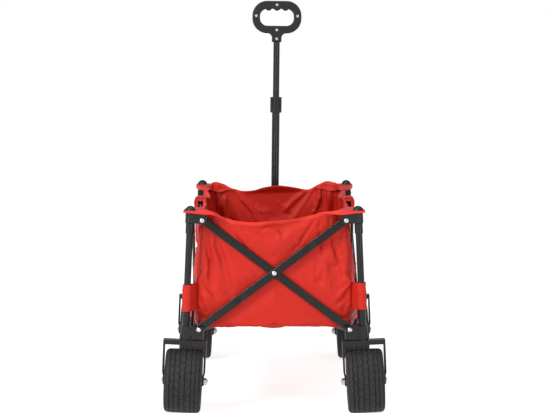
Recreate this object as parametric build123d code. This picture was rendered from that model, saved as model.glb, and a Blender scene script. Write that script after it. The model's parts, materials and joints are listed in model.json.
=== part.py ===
"""Folding camp wagon: cross-braced steel frame, fabric basket, four wide wheels and a pull handle.

Millimetres. X points to the right, Y from the rear end to the handle end, Z up, ground at Z = 0.

Every corner is modelled once, for the rear left, in a corner frame: x points inboard, y along the
wagon towards its middle, z up the leaning post, with the origin where the post's axis meets the
ground. The other three corners are mirror images, apart from the planes that their arms lie in.
"""

import os
from math import asin, atan2, cos, degrees, hypot, radians, sin, sqrt

from build123d import *

# --- Posture of the open wagon ---
LEAN = 2.66  # the posts' tops lean inboard, degrees
ARM = 509.0  # every scissor arm, between its end pivots
RISE = 304.5  # between a corner's lower and upper pivots, along the post
LOW_PIVOT = 236.5  # lower pivots, along the post
END_LOW = 36.8  # end scissor's lower pivots, inboard of the post axis
END_TOP = 33.3  # end scissor's upper pivots, inboard of the post axis
SIDE_PIVOT = 31.4  # side scissor's pivots, from the post axis along the wagon

# --- Arms and rivets ---
ARM_WIDTH = 22.0
ARM_THICK = 7.0
ARM_WALL = 1.2
ARM_ROUND = 2.2
DENT_R, DENT_DEPTH = 210.0, 0.8
DENTS = (-116.0, 122.0)  # shallow dents in the outer end arms, from the centre rivet
OUTER_PLANE = 4.0  # outer arms start this far inboard of the post axis
INNER_PLANE = 12.5  # inner arms start this far inboard of the post axis
RIVET_D = 6.0
RIVET_HOLE = 6.15
SLACK_HOLE = 10.4  # upper ends of the end arms, which shift sideways as the wagon folds
RIVET_HEAD_R = 6.2
RIVET_HEAD_H = 2.4

# --- Posts ---
POST_D = 19.0
POST_BORE = 17.0
POST_FOOT = 209.0
POST_TOP = 529.0
BUSHING_D = 23.0
BUSHING_LENGTH = 28.0
TUBE_D = 12.7
TUBE_BORE = 10.3
TUBE_FOOT = 262.0
TUBE_TOP = 568.0

# --- Corner brackets ---
FACE = 12.5  # outer faces, from the post axis
PLATE = 3.2  # plate behind each arm
SLOT_GAP = 0.4  # beside each arm
WEB = 19.5  # solid part around the post
FLANGE_END = 13.0  # flange beyond its pivot
LOWER_FOOT, LOWER_TOP = 209.0, 245.0
UPPER_FOOT, UPPER_TOP = 532.0, 563.0

# --- Fork, wheel and axle ---
WHEEL_R = 89.0
TYRE_WIDTH = 102.0
TYRE_SHOULDER = 14.0
TYRE_GROOVE = 3.0
TYRE_WALL = 12.0
RIM_R = 56.0
RIM_WIDTH = 90.0
HUB_R = 15.0
HUB_WIDTH = 100.0
AXLE_D = 10.0
AXLE_BORE = 10.15
FORK_TOP = 206.0
FORK_BEAM = 13.0
FORK_HALF = 59.7
FORK_DEPTH = 31.0
LEG_THICK = 5.0
STEM_D = 16.9
STEM_TOP = 250.0

# --- Floor bars ---
BAR_PIVOT = (36.0, 36.0, 231.0)  # in the corner frame
BAR_HEIGHT = 14.0
BAR_THICK = 8.0
BAR_WALL = 1.2
BAR_SHORT = 66.0  # tips stop this far short of the middle
LUG_THICK = 3.1
BAR_PIN_D = 5.0

# --- Basket ---
CLOTH = 1.5
BASKET_INSET = 24.0  # walls, inboard of the post axes
BASKET_FLOOR = 240.5
BASKET_TOP = 562.0
FLAP_FOOT = 563.6
STRAP_FOOT, STRAP_TOP = 284.0, 360.0
STRAP_R = 14.0

# --- Handle ---
HANDLE_OUT = 22.0  # handle axis, in front of the front posts
HANDLE_LEAN = 0.65  # the handle hangs a little to the right, degrees
BASE_PLATE = (0.6, 3.6)  # handle base's plate, inboard of the front posts' axes
PIVOT_BOLT_D = 8.0
PIVOT_DROP = 10.0  # handle pivot, under the front scissor's centre
LOWER_TUBE_D = 24.8
LOWER_TUBE_BORE = 22.4
LOWER_TUBE_TOP = 838.0
UPPER_TUBE_D = 20.5
UPPER_TUBE_BORE = 18.1
UPPER_TUBE_FOOT = 600.0
COLLAR_D = 36.7
COLLAR_FOOT, COLLAR_TOP = 795.0, 844.5
BUTTON_D = 9.0
BUTTON_Z = 803.0
BUTTON_REST = -13.5  # the button's inner end, from the handle's axis
COLLAR_RIBS = 20
GRIP_FOOT = 1048.4
GRIP_TOP = 1152.0
GRIP_WIDTH = 157.0
GRIP_THICK = 30.0
GRIP_RING = 25.0
NECK_FOOT = 1020.7
NECK_WIDTH = 33.0
GRIP_ROUND = 4.0

# --- Worked out from the dimensions above ---
LEAN_SIN, LEAN_COS = sin(radians(LEAN)), cos(radians(LEAN))
TOP_PIVOT = LOW_PIVOT + RISE
SPAN = sqrt(ARM**2 - RISE**2)  # one side scissor, along the wagon
SIDE_ANGLE = degrees(asin(RISE / ARM))
MID_HEIGHT = (LOW_PIVOT + TOP_PIVOT) / 2
HALF_LENGTH = SPAN + SIDE_PIVOT  # post axes, from the middle of the wagon
END_ACROSS = RISE * LEAN_SIN - (END_LOW - END_TOP) * LEAN_COS
END_RISE = RISE * LEAN_COS + (END_LOW - END_TOP) * LEAN_SIN
END_ANGLE = degrees(asin(END_RISE / ARM))
LOWER_HALF = (ARM + END_ACROSS / cos(radians(END_ANGLE))) / 2  # end arm, under its centre rivet
UPPER_HALF = ARM - LOWER_HALF
END_X = LOWER_HALF * cos(radians(END_ANGLE))
POST_X = END_X + END_LOW * LEAN_COS + LOW_PIVOT * LEAN_SIN  # post axes at the ground
CENTRE_Z = LOW_PIVOT * LEAN_COS - END_LOW * LEAN_SIN + LOWER_HALF * sin(radians(END_ANGLE))
TREAD_HALF = TYRE_WIDTH / 2 - TYRE_SHOULDER
AXLE_Z = WHEEL_R - TYRE_SHOULDER + (TYRE_SHOULDER + TREAD_HALF * LEAN_SIN) / LEAN_COS
HANDLE_Y = HALF_LENGTH + HANDLE_OUT
PIVOT_Z = CENTRE_Z - PIVOT_DROP

CORNER = Pos(-POST_X, -HALF_LENGTH, 0) * Rot(0, LEAN, 0)
SIDE = Pos(-POST_X, 0, 0) * Rot(0, LEAN, 0)
HANDLE = Pos(0, HANDLE_Y, PIVOT_Z) * Rot(0, HANDLE_LEAN, 0) * Pos(0, 0, -PIVOT_Z)
CORNERS = {
    "rear_left": (False, False),
    "rear_right": (True, False),
    "front_left": (False, True),
    "front_right": (True, True),
}


# --- Small helpers ---
def mirrored(shape, right, front):
    """Mirror a rear left shape to the right side, to the front end, or both."""
    if right:
        shape = shape.mirror(Plane.YZ)
    if front:
        shape = shape.mirror(Plane.XZ)
    return shape


def box(x, y, z):
    """A box between the given pairs of limits."""
    return Pos(sum(x) / 2, sum(y) / 2, sum(z) / 2) * Box(x[1] - x[0], y[1] - y[0], z[1] - z[0])


def rod(radius, start, end):
    """A cylinder along Z from start to end."""
    return Pos(0, 0, (start + end) / 2) * Cylinder(radius, end - start)


def ring(outer, inner, start, end):
    """A tube along Z from start to end."""
    return rod(outer, start, end) - rod(inner, start, end)


def dome(radius, height):
    """A rounded head that stands on Z = 0, a slice of a ball."""
    ball = (radius**2 + height**2) / (2 * height)
    return Pos(0, 0, height - ball) * Sphere(ball) & rod(radius + 1, 0, height + 1)


def group(pieces):
    """Several solids side by side in one node."""
    return Compound([solid for piece in pieces for solid in piece.solids()])


def along_x(shape):
    """Turn a shape made along Z so that it points along +X."""
    return Rot(0, 90, 0) * shape


def along_y(shape):
    """Turn a shape made along Z so that it points along +Y."""
    return Rot(-90, 0, 0) * shape


def rivet(start, end, back_head):
    """A rivet along Z, with a domed head in front of start, and one behind end if it shows."""
    body = rod(RIVET_D / 2, start, end)
    body += Pos(0, 0, start) * Rot(180, 0, 0) * dome(RIVET_HEAD_R, RIVET_HEAD_H)
    if back_head:
        body += Pos(0, 0, end) * dome(RIVET_HEAD_R, RIVET_HEAD_H)
    return body


def arm_plane(outer):
    """Where an arm starts, inboard of the post axis."""
    return OUTER_PLANE if outer else INNER_PLANE


# --- Corner pieces, in the corner frame ---
def post_tube():
    """Lower post tube, with the bushing that guides the upper tube."""
    tube = ring(POST_D / 2, POST_BORE / 2, POST_FOOT, POST_TOP)
    bushing = ring(BUSHING_D / 2, POST_D / 2, POST_TOP + 2 - BUSHING_LENGTH, POST_TOP)
    bushing += ring(BUSHING_D / 2, POST_BORE / 2, POST_TOP, POST_TOP + 2)
    return group([tube, bushing])


def upper_tube():
    """Upper post tube, which slides inside the lower one."""
    return ring(TUBE_D / 2, TUBE_BORE / 2, TUBE_FOOT, TUBE_TOP)


def post_cap():
    """Domed cap that holds the basket's corner down."""
    cap = Pos(0, 0, TUBE_TOP - 2) * dome(15.3, 13.5)
    return cap - rod(TUBE_D / 2, TUBE_TOP - 3, TUBE_TOP)


def bracket_block(foot, top, end_pivot, end_outer):
    """An L-shaped moulding around the post, one flange for the end arm and one for the side arm."""
    end_back = arm_plane(end_outer) + ARM_THICK + PLATE
    side_back = arm_plane(not end_outer) + ARM_THICK + PLATE
    block = rod(FACE + 1, foot, top)
    block += box((0, end_pivot + FLANGE_END), (-FACE, end_back), (foot, top))
    block += box((-FACE, side_back), (0, SIDE_PIVOT + FLANGE_END), (foot, top))
    return block


def cut_arm_slots(block, foot, top, end_pivot, end_outer):
    """Open the slots that the two arms turn in."""
    low, high = -SLOT_GAP, ARM_THICK + SLOT_GAP
    end_at, side_at = arm_plane(end_outer), arm_plane(not end_outer)
    reach = FLANGE_END + 1
    z = (foot - 1, top + 1)
    block -= box((WEB, end_pivot + reach), (end_at + low, end_at + high), z)
    block -= box((side_at + low, side_at + high), (WEB, SIDE_PIVOT + reach), z)
    return block


def bracket_rivets(end_pivot, end_outer, height):
    """The rivets that the end arm and the side arm turn on."""
    end_back = arm_plane(end_outer) + ARM_THICK + PLATE
    side_back = arm_plane(not end_outer) + ARM_THICK + PLATE
    end = Pos(end_pivot, 0, height) * along_y(rivet(-FACE, end_back, False))
    side = Pos(0, SIDE_PIVOT, height) * along_x(rivet(-FACE, side_back, False))
    return [end, side]


def upper_bracket(end_outer):
    """Upper corner bracket and its two rivets."""
    block = bracket_block(UPPER_FOOT, UPPER_TOP, END_TOP, end_outer)
    block = cut_arm_slots(block, UPPER_FOOT, UPPER_TOP, END_TOP, end_outer)
    block -= rod(TUBE_D / 2 + 0.05, UPPER_FOOT, UPPER_TOP)
    rivets = bracket_rivets(END_TOP, end_outer, TOP_PIVOT)
    for piece in rivets:
        block -= piece
    return group([block, *rivets])


def bar_frame():
    """Frame of the rear left floor bar: origin at its pivot, X along the bar, Z up."""
    pivot = (CORNER * Pos(*BAR_PIVOT)).position
    return Location((pivot.X, pivot.Y, pivot.Z), (0, 0, degrees(atan2(-pivot.Y, -pivot.X))))


def bar_lug():
    """Fork that carries a floor bar, in the corner frame, with the slot still closed."""
    half = BAR_THICK / 2 + SLOT_GAP + LUG_THICK
    lug = box((-26, 7.5), (-half, half), (-BAR_HEIGHT / 2, BAR_HEIGHT / 2))
    return CORNER.inverse() * bar_frame() * lug


def bar_slot():
    """Slot in the lug for the bar, with the hole for its pin, in the corner frame."""
    half = BAR_THICK / 2 + SLOT_GAP
    slot = box((-8, 9), (-half, half), (-BAR_HEIGHT, BAR_HEIGHT))
    return CORNER.inverse() * bar_frame() * slot


def bar_pin():
    """Pin that a floor bar turns on, in the corner frame."""
    half = BAR_THICK / 2 + SLOT_GAP + LUG_THICK
    return CORNER.inverse() * bar_frame() * along_y(rod(BAR_PIN_D / 2, -half, half))


def lower_bracket(end_outer):
    """Lower corner bracket with its rivets, screw holes and floor bar lug."""
    block = bracket_block(LOWER_FOOT, LOWER_TOP, END_LOW, end_outer) + bar_lug()
    block = cut_arm_slots(block, LOWER_FOOT, LOWER_TOP, END_LOW, end_outer)
    block -= bar_slot()
    block -= rod(POST_D / 2 + 0.05, LOWER_FOOT, LOWER_TOP)
    for height in (LOWER_FOOT + 7, LOWER_TOP - 7):
        block -= Pos(WEB - 3, 0, height) * along_y(rod(2, -FACE, -FACE + 4))
    pins = [*bracket_rivets(END_LOW, end_outer, LOW_PIVOT), bar_pin()]
    for piece in pins:
        block -= piece
    return group([block, *pins])


def fork():
    """Wheel fork: a beam over the tyre, two flat legs cranked in at the axle, and a stem."""
    top, beam, out = FORK_TOP, FORK_TOP - FORK_BEAM, FORK_HALF
    foot, crank = AXLE_Z - 13, 2.7
    outline = [(0, top), (out, top), (out, foot + 38), (out - crank, foot + 26), (out - crank, foot)]
    outline += [(x - LEG_THICK, z) for x, z in ((out - crank, foot), (out - crank, foot + 25))]
    outline += [(out - LEG_THICK, foot + 37), (out - LEG_THICK, beam), (0, beam), (0, top)]
    half = extrude(Plane.XZ * make_face(Polyline(outline)), FORK_DEPTH / 2, both=True)
    body = half + half.mirror(Plane.YZ)
    body += box((-FACE, out - LEG_THICK), (-FORK_DEPTH / 2, FORK_DEPTH / 2), (beam - 4, beam))
    side = Pos(0, 0, AXLE_Z) * along_x(Cylinder(13, 3 * out))
    edge = [(FORK_DEPTH / 2, top), (FORK_DEPTH / 2, beam - 20), (13, AXLE_Z)]
    taper = Polyline(edge + [(-y, z) for y, z in reversed(edge)], close=True)
    side += extrude(Plane.YZ * make_face(taper), 2 * out, both=True)
    body &= side
    body -= Pos(0, 0, AXLE_Z) * along_x(Cylinder(AXLE_D / 2 + 0.1, 3 * out))
    body += rod(POST_D / 2 + 4.5, top, POST_FOOT - 0.4) + rod(STEM_D / 2, top, STEM_TOP)
    return body


def axle():
    """Axle bolt: domed head outboard, nut inboard."""
    face = FORK_HALF - 2.7
    bolt = rod(AXLE_D / 2, -face, face + 11) + Pos(0, 0, -face) * Rot(180, 0, 0) * dome(9.5, 5)
    nut = Pos(0, 0, face) * extrude(RegularPolygon(9.8, 6), 8) - rod(AXLE_D / 2, face, face + 8)
    return Pos(0, 0, AXLE_Z) * along_x(group([bolt, nut]))


def tyre():
    """Wide tyre with rounded shoulders and grooves around its tread."""
    half, bead, flat = TYRE_WIDTH / 2, RIM_WIDTH / 2, TYRE_WIDTH / 2 - TYRE_SHOULDER
    corner = TYRE_SHOULDER * 0.7071
    shoulder_r = WHEEL_R - TYRE_SHOULDER
    outline = Polyline([(0, RIM_R), (bead, RIM_R), (half - 1, RIM_R + 9), (half, shoulder_r)])
    outline += ThreePointArc((half, shoulder_r), (flat + corner, shoulder_r + corner), (flat, WHEEL_R))
    outline += Polyline([(flat, WHEEL_R), (0, WHEEL_R), (0, RIM_R)])
    profile = make_face(outline)
    body = revolve(Plane.XZ * (profile + profile.mirror(Plane.YZ)), Axis.X)
    for x in (-27, -9, 9, 27):
        groove = ring(WHEEL_R + 1, WHEEL_R - TYRE_GROOVE, x - 1.5, x + 1.5)
        body -= along_x(groove)
    hollow = ring(WHEEL_R - TYRE_WALL, RIM_R - 1, -TREAD_HALF, TREAD_HALF)
    return Pos(0, 0, AXLE_Z) * (body - along_x(hollow))


def wheel_hub():
    """Moulded wheel: rim, web, six ribs and a bored boss."""
    body = ring(RIM_R, RIM_R - 6, -RIM_WIDTH / 2, RIM_WIDTH / 2)
    body += rod(RIM_R - 5, -4, 4) + rod(HUB_R, -HUB_WIDTH / 2, HUB_WIDTH / 2)
    for turn in range(6):
        body += Rot(0, 0, 60 * turn) * box((HUB_R - 2, RIM_R - 4), (-2.5, 2.5), (-32, 32))
    body -= rod(AXLE_BORE / 2, -HUB_WIDTH, HUB_WIDTH)
    return Pos(0, 0, AXLE_Z) * along_x(body)


# --- Arms and bars ---
def arm(low_reach, high_reach, high_hole=RIVET_HOLE, dents=()):
    """Flat tube along X, pierced at its ends and centre, lying across Y from 0 to its thickness."""
    half, thick = ARM_WIDTH / 2, ARM_THICK
    outline = box((-low_reach, high_reach), (0, thick), (-half, half))
    inner = half - ARM_WALL
    hollow = box((-low_reach - half, high_reach + half), (ARM_WALL, thick - ARM_WALL), (-inner, inner))
    for x in (-low_reach, high_reach):
        outline += Pos(x, 0, 0) * along_y(rod(half, 0, thick))
    sides = outline.faces().sort_by(Axis.Y)
    outline = fillet(sides[0].edges() + sides[-1].edges(), ARM_ROUND)
    body = outline - hollow
    for x, hole in ((-low_reach, RIVET_HOLE), (0, RIVET_HOLE), (high_reach, high_hole)):
        body -= Pos(x, 0, 0) * along_y(rod(hole / 2, -1, thick + 1))
    for x in dents:
        body -= Pos(x, DENT_DEPTH - DENT_R, 0) * rod(DENT_R, -half - 1, half + 1)
    return body


def arm_rivet(x, start):
    """Rivet and washer from an outer arm, or the plate in front of it, to the inner arm behind it."""
    washer = ring(9, RIVET_HOLE / 2, OUTER_PLANE + ARM_THICK + 0.1, INNER_PLANE - 0.1)
    shaft = rivet(start, INNER_PLANE + ARM_THICK, True)
    return [Pos(x, 0, 0) * along_y(piece) for piece in (shaft, washer)]


def placed_arm(place, outer, shape, rivets=(), rivet_start=OUTER_PLANE):
    """An arm in its plane, with the rivets that it carries at the given places along it."""
    body = Pos(0, arm_plane(outer), 0) * shape
    pieces = [piece for x in rivets for piece in arm_rivet(x, rivet_start)]
    return place * group([body, *pieces])


def end_arms():
    """Both end scissors. The front one's centre rivet is longer, to hold the handle's base too."""
    place = Pos(0, -HALF_LENGTH, CENTRE_Z) * Rot(0, -END_ANGLE, 0)
    plain = arm(LOWER_HALF, UPPER_HALF, SLACK_HOLE)
    dented = arm(LOWER_HALF, UPPER_HALF, SLACK_HOLE, DENTS)
    rear_outer = placed_arm(place, True, dented, rivets=[0])
    front_outer = placed_arm(place, True, dented, rivets=[0], rivet_start=BASE_PLATE[0] - 0.1)
    inner = placed_arm(place, False, plain)
    return {
        "rear_arm_outer": rear_outer,
        "rear_arm_inner": mirrored(inner, True, False),
        "front_arm_outer": mirrored(front_outer, True, True),
        "front_arm_inner": mirrored(inner, False, True),
    }


def side_arms(right):
    """The two scissors of one side. Rising arms climb towards the front, falling arms drop."""
    side = "right" if right else "left"
    arms = {}
    for half, toward in (("rear", -1), ("front", 1)):
        for slope, turn in (("rising", 1), ("falling", -1)):
            outer = (slope == "rising") == right
            centre = SIDE * Pos(0, toward * SPAN / 2, MID_HEIGHT)
            place = centre * Rot(0, 0, -90) * Rot(0, turn * SIDE_ANGLE, 0)
            rivets = [0, toward * ARM / 2] if outer else []
            shape = placed_arm(place, outer, arm(ARM / 2, ARM / 2), rivets)
            arms[f"{side}_{half}_arm_{slope}"] = mirrored(shape, right, False)
    return arms


def floor_bar():
    """Rear left floor bar, from its lug to just short of the middle of the floor."""
    frame = bar_frame()
    reach = hypot(frame.position.X, frame.position.Y) - BAR_SHORT
    half, side = BAR_HEIGHT / 2, BAR_THICK / 2
    body = box((0, reach), (-side, side), (-half, half)) + along_y(rod(half, -side, side))
    inner = half - BAR_WALL
    body -= box((-half, reach + 1), (-side + BAR_WALL, side - BAR_WALL), (-inner, inner))
    body -= along_y(rod(BAR_PIN_D / 2 + 0.075, -side, side))
    return frame * body


# --- Basket ---
def wall_x(height, inset):
    """How far the plane of a side wall is from the middle of the wagon, at a height."""
    return POST_X - height * LEAN_SIN / LEAN_COS - inset / LEAN_COS


def corner_flap():
    """Cloth corner that lies over the post's bracket, under its cap."""
    near, far, edge = BASKET_INSET + CLOTH, 70.0, 16.0
    outline = [(-19, -19), (far, edge), (far, near), (near, near), (near, far), (edge, far)]
    flap = Pos(0, 0, FLAP_FOOT) * extrude(make_face(Polyline(outline, close=True)), CLOTH)
    return flap - rod(TUBE_D / 2 + 0.3, FLAP_FOOT, FLAP_FOOT + CLOTH)


def corner_strap():
    """Cloth strap around the post, sewn to the basket's corner."""
    seam = BASKET_INSET * sqrt(2) - 0.6
    strap = ring(STRAP_R, STRAP_R - CLOTH, STRAP_FOOT, STRAP_TOP)
    tab = box((STRAP_R - CLOTH, seam), (-CLOTH / 2, CLOTH / 2), (STRAP_FOOT, STRAP_TOP))
    return strap + Rot(0, 0, 45) * tab


def basket():
    """Four walls and a floor, with a flap and a strap at each corner."""
    end = HALF_LENGTH - BASKET_INSET
    inner = BASKET_INSET + CLOTH
    side_wall = SIDE * box((BASKET_INSET, inner), (-end, end), (BASKET_FLOOR, BASKET_TOP))
    corners = [(wall_x(z, inner), z) for z in (BASKET_FLOOR, BASKET_TOP - 2)]
    outline = corners + [(-x, z) for x, z in reversed(corners)]
    face = Plane.XZ * make_face(Polyline(outline, close=True))
    rear_wall = Pos(0, CLOTH - end, 0) * extrude(face, CLOTH)
    floor_x = wall_x(BASKET_FLOOR + CLOTH, inner) - 0.1
    floor = box((-floor_x, floor_x), (CLOTH - end, end - CLOTH), (BASKET_FLOOR, BASKET_FLOOR + CLOTH))
    pieces = [side_wall, mirrored(side_wall, True, False)]
    pieces += [rear_wall, mirrored(rear_wall, False, True), floor]
    for shape in (CORNER * corner_flap(), CORNER * corner_strap()):
        pieces += [mirrored(shape, *where) for where in CORNERS.values()]
    return group(pieces)


# --- Handle, along Z with its axis on X = Y = 0 apart from its base ---
def handle_base():
    """Plate on the front scissor's centre rivet, two cheeks and the bolt that the handle tilts on."""
    y_plate = (-BASE_PLATE[1], -BASE_PLATE[0])
    base = box((-16.6, 16.6), y_plate, (CENTRE_Z - 34, CENTRE_Z + 26))
    for side in (-1, 1):
        cheek = box((-1.5, 1.5), (y_plate[0], HANDLE_OUT), (PIVOT_Z - 15, PIVOT_Z + 15))
        cheek += Pos(0, HANDLE_OUT, PIVOT_Z) * along_x(rod(15, -1.5, 1.5))
        base += Pos(side * 15.1, 0, 0) * cheek
    base -= Pos(0, 0, CENTRE_Z) * along_y(rod(RIVET_HOLE / 2, y_plate[0], y_plate[1]))
    bolt = rod(PIVOT_BOLT_D / 2, -16.6, 19) + Pos(0, 0, 16.6) * dome(7, 4)
    bolt += Pos(0, 0, -16.6) * Rot(180, 0, 0) * dome(7, 4)
    bolt = Pos(0, HANDLE_OUT, PIVOT_Z) * along_x(bolt)
    return Pos(0, HALF_LENGTH, 0) * group([base - bolt, bolt])


def button_hole():
    """Hole for the button through the collar and the lower tube."""
    return Pos(0, 0, BUTTON_Z) * along_y(rod(BUTTON_D / 2 + 0.08, -COLLAR_D, -UPPER_TUBE_D / 2))


def handle_lower_tube():
    """Lower handle tube, pierced for the pivot bolt and the button."""
    tube = ring(LOWER_TUBE_D / 2, LOWER_TUBE_BORE / 2, PIVOT_Z - 14, LOWER_TUBE_TOP)
    tube = HANDLE * (tube - button_hole())
    bolt_hole = rod(PIVOT_BOLT_D / 2 + 0.075, -LOWER_TUBE_D, LOWER_TUBE_D)
    return tube - Pos(0, HANDLE_Y, PIVOT_Z) * along_x(bolt_hole)


def handle_collar():
    """Ribbed collar around the top of the lower tube, which guides the upper tube."""
    collar = ring(COLLAR_D / 2, LOWER_TUBE_D / 2, COLLAR_FOOT, LOWER_TUBE_TOP)
    collar += ring(COLLAR_D / 2, UPPER_TUBE_D / 2 + 0.08, LOWER_TUBE_TOP, COLLAR_TOP)
    for turn in range(COLLAR_RIBS):
        groove = box((COLLAR_D / 2 - 1, COLLAR_D), (-1, 1), (BUTTON_Z + 9, COLLAR_TOP - 5))
        collar -= Rot(0, 0, 360 / COLLAR_RIBS * turn) * groove
    return HANDLE * (collar - button_hole())


def handle_button():
    """Round button in the collar, on the side of the basket."""
    rest = -COLLAR_D / 2 - 1.2
    button = rod(BUTTON_D / 2, rest, BUTTON_REST) + Pos(0, 0, rest) * Rot(180, 0, 0) * dome(BUTTON_D / 2, 2)
    return HANDLE * Pos(0, 0, BUTTON_Z) * along_y(button)


def grip_screws():
    """Five screws that hold the grip's two halves together and on the tube."""
    head_y, middle = -GRIP_THICK / 2, (GRIP_FOOT + GRIP_TOP) / 2 + 4
    side = GRIP_WIDTH / 2 - GRIP_RING / 2
    heights = (GRIP_TOP - GRIP_RING / 2, GRIP_FOOT + 11, NECK_FOOT + 10.5)
    places = [(-side, middle), (side, middle)] + [(0, z) for z in heights]
    screw = rod(1.75, head_y + 2, 8) + rod(4.2, head_y - 0.2, head_y + 2)
    return group([Pos(x, 0, z) * along_y(screw) for x, z in places])


def handle_upper_tube():
    """Upper handle tube, up into the grip's neck."""
    tube = ring(UPPER_TUBE_D / 2, UPPER_TUBE_BORE / 2, UPPER_TUBE_FOOT, GRIP_FOOT - 2)
    return HANDLE * (tube - grip_screws())


def handle_grip():
    """Closed D-shaped grip in two halves, with finger bumps under its top bar."""
    middle = (GRIP_FOOT + GRIP_TOP) / 2
    height = GRIP_TOP - GRIP_FOOT
    outline = Pos(0, middle) * RectangleRounded(GRIP_WIDTH, height, 0.46 * height)
    neck = [(NECK_WIDTH / 2 - 1, NECK_FOOT), (NECK_WIDTH / 2 - 1, GRIP_FOOT - 12), (17.5, GRIP_FOOT - 7),
            (22, GRIP_FOOT - 2), (29, GRIP_FOOT + 1), (38, GRIP_FOOT + 4)]
    outline += make_face(Polyline(neck + [(-x, z) for x, z in reversed(neck)], close=True))
    hole = (GRIP_WIDTH - 2 * GRIP_RING + 1, height - 2 * GRIP_RING)
    opening = Pos(0, middle - 0.7) * RectangleRounded(*hole, 0.44 * hole[1])
    for x in (-27, 0, 27):
        opening -= Pos(x, middle + hole[1] / 2 + 5.5) * Circle(12)
    face = Plane.XZ * (outline - opening)
    back = extrude(face, -GRIP_THICK / 2)
    rims = back.edges().filter_by(lambda edge: edge.bounding_box().min.Y > GRIP_THICK / 2 - 0.01)
    back = fillet(rims, GRIP_ROUND)
    front = back.mirror(Plane.XZ)
    inside = rod(UPPER_TUBE_D / 2, NECK_FOOT, GRIP_FOOT - 2) + grip_screws()
    return HANDLE * group([half - inside for half in (front, back)])


# --- The whole wagon ---
def corner_nodes(name, right, front):
    """The nine pieces of one corner."""
    end_outer = right == front
    pieces = {
        "post_tube": post_tube(),
        "lower_bracket": lower_bracket(end_outer),
        "fork": fork(),
        "axle": axle(),
        "tyre": tyre(),
        "wheel": wheel_hub(),
        "upper_bracket": upper_bracket(not end_outer),
        "upper_tube": upper_tube(),
        "post_cap": post_cap(),
    }
    return {f"{name}_{piece}": mirrored(CORNER * shape, right, front) for piece, shape in pieces.items()}


def wagon():
    """Every node of the wagon, by name."""
    nodes = {}
    for name, where in CORNERS.items():
        nodes.update(corner_nodes(name, *where))
        nodes[f"{name}_floor_bar"] = mirrored(floor_bar(), *where)
    nodes.update(end_arms())
    nodes.update(side_arms(False))
    nodes.update(side_arms(True))
    nodes["basket"] = basket()
    nodes["handle_base"] = handle_base()
    nodes["handle_lower_tube"] = handle_lower_tube()
    nodes["handle_collar"] = handle_collar()
    nodes["handle_button"] = handle_button()
    nodes["handle_upper_tube"] = handle_upper_tube()
    nodes["handle_grip"] = handle_grip()
    nodes["grip_screws"] = HANDLE * grip_screws()
    return nodes


os.makedirs("parts", exist_ok=True)
for node, shape in wagon().items():
    export_step(shape, f"parts/{node}.step")
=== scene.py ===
"""Looks of the folding camp wagon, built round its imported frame.

Metres, in the frame's own axes: X to the right seen from the rear end, Y to the handle end, Z up.
"""

import json
from math import cos, pi, radians, sin

import bpy
import numpy as np
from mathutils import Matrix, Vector


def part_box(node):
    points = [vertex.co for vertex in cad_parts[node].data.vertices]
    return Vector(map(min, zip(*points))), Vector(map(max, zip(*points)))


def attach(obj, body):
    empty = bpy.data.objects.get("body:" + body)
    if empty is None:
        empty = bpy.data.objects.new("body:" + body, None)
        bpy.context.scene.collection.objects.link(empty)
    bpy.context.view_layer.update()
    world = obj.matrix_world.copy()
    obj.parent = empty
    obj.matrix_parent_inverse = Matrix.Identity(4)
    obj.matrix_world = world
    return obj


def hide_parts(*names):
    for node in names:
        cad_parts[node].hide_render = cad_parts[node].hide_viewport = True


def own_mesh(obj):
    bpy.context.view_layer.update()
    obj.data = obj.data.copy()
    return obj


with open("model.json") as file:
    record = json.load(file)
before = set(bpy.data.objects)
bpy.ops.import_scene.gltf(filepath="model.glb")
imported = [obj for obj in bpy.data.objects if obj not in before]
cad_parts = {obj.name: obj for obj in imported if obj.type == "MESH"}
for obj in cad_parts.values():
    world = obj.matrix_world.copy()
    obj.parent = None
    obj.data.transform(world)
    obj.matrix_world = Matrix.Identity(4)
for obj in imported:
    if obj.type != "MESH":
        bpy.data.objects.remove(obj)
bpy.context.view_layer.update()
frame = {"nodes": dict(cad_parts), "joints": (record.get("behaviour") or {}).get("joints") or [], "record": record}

# --- Places read from the frame ---
JOINTS = {joint["name"]: joint for joint in frame["joints"]}
SWIVEL = JOINTS["front_left_swivel"]
POST_POINT = Vector(SWIVEL["pos_m"])
POST_AXIS = Vector(SWIVEL["axis"])
POST_Y = POST_POINT.y
BASKET_LOW, BASKET_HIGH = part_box("basket")
CORNERS = {"rear_left": (-1, -1), "rear_right": (1, -1), "front_left": (-1, 1), "front_right": (1, 1)}

# --- Basket ---
WALL_INSET = 0.024  # walls, inboard of the post axes
CORNER_ROUND = 0.018
CLOTH = 0.0011
FLOOR_CLOTH, FLAP_CLOTH, STRAP_CLOTH, CHEEK_CLOTH = 0.0016, 0.0013, 0.0014, 0.0012
COLUMN = 0.0075  # spacing of the cloth's columns
ROWS = 44
FLOOR_Z = BASKET_LOW.z + CLOTH
FLAP_Z = BASKET_HIGH.z - CLOTH / 2
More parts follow.
